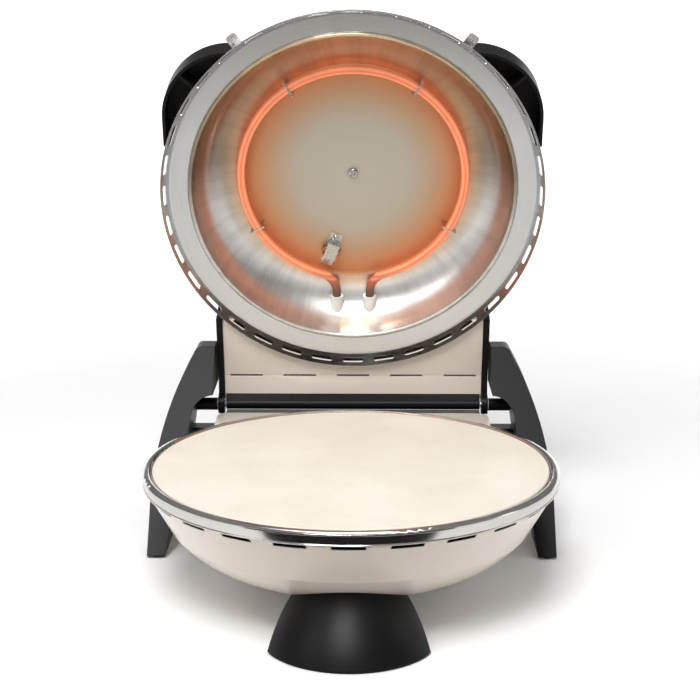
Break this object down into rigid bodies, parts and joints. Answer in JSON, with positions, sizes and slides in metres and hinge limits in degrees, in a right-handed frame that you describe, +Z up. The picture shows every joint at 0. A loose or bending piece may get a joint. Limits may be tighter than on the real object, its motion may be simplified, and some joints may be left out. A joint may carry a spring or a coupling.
{
  "type": "countertop pizza oven",
  "caption": "Round clamshell electric oven for baking one flatbread: hinged domed lid with an exposed heating ring over a refractory stone set in a footed bowl.",
  "frame": {"origin": "centre of the bounding box at the table surface, lid standing open", "axes": "+Z up, front of the oven towards -Y, +X to the user's right when facing the oven from the front"},
  "size_m": [0.3672, 0.453, 0.4808],
  "materials": {
    "cream_paint": "glossy enamel",
    "polished_steel": "mirror polished",
    "bright_steel": "bright",
    "reflector_steel": "polished, heat tinted",
    "satin_flange": "satin",
    "refractory_stone": "matte fired stone",
    "element_sheath": "dark oxidised",
    "glowing_element": "glowing sheath",
    "ceramic": "glazed",
    "black_plastic": "satin moulded",
    "knob_plastic": "satin moulded",
    "white_plastic": "moulded",
    "washer_plastic": "moulded",
    "rubber": "matte",
    "screw_steel": "zinc plated",
    "copper": "drawn tube",
    "red_lens": "translucent lens"
  },
  "bodies": {
    "base": {"base_bowl": "cream_paint", "base_rim_ring": "polished_steel", "reflector_pan": "bright_steel", "lower_element": "element_sheath", "lower_element_ferrules": "ceramic", "lower_element_supports": "bright_steel", "front_foot": "black_plastic", "front_foot_pad": "rubber", "foot_screws": "screw_steel", "rear_leg_left": "black_plastic", "rear_leg_right": "black_plastic", "rear_leg_pads": "rubber", "arm_screws": "screw_steel", "hinge_pin_left": "screw_steel", "hinge_pin_right": "screw_steel", "hinge_washers": "washer_plastic", "base_neck": "cream_paint", "rear_bridge": "black_plastic", "cord_gland": "rubber", "terminal_block": "white_plastic"},
    "lid": {"lid_shell": "cream_paint", "lid_lip_ring": "polished_steel", "lid_flange": "satin_flange", "lid_reflector": "reflector_steel", "upper_element": "glowing_element", "upper_element_ferrules": "ceramic", "upper_element_supports": "bright_steel", "bulb_clip": "bright_steel", "thermostat_bulb": "copper", "clip_screws": "screw_steel", "centre_screw": "screw_steel", "lid_neck": "cream_paint", "lid_hinge_bar": "black_plastic", "neck_cap_left": "black_plastic", "neck_cap_right": "black_plastic", "ear_grip_left": "black_plastic", "ear_grip_right": "black_plastic", "ear_leaves": "bright_steel", "control_pod": "black_plastic", "thermostat_body": "white_plastic", "pilot_lamp": "red_lens"},
    "knob": {"knob": "knob_plastic", "thermostat_spindle": "screw_steel"},
    "stone": {"stone": "refractory_stone"}
  },
  "joints": [
    {"name": "lid_hinge", "type": "hinge", "parent": "base", "child": "lid", "pos_m": [0, 0.16747, 0.1046], "axis": [-1, 0, 0], "range_deg": [-74, 0]},
    {"name": "thermostat_knob", "type": "hinge", "parent": "lid", "child": "knob", "pos_m": [0, 0.19138, 0.38401], "axis": [0, -0.9613, -0.2756], "range_deg": [0, 270]},
    {"name": "stone_lift", "type": "slide", "parent": "base", "child": "stone", "axis": [0, 0, 1], "range_m": [0, 0.01]}
  ]
}
